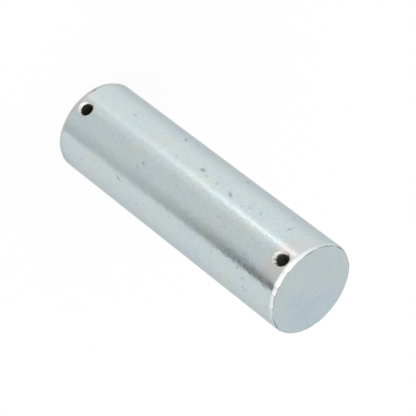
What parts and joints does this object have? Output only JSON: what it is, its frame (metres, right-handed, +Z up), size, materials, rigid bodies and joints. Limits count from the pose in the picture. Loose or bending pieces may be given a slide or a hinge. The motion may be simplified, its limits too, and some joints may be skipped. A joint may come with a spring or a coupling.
{
  "type": "yoke pin",
  "caption": "Headless zinc-plated steel yoke pin: a plain turned bar with chamfered ends and a countersunk split-pin hole across each end, used as a pivot in a yoke.",
  "frame": {"origin": "middle of the lower end face, on the surface that the pin stands on", "axes": "+Z up the pin's axis, -Y out of the split-pin hole mouths on the front"},
  "size_m": [0.024, 0.024, 0.08],
  "materials": {
    "zinc_plated_steel": "turned, bright zinc plated and clear passivated, satin"
  },
  "bodies": {
    "root": {"yoke_pin": "zinc_plated_steel"}
  },
  "joints": []
}
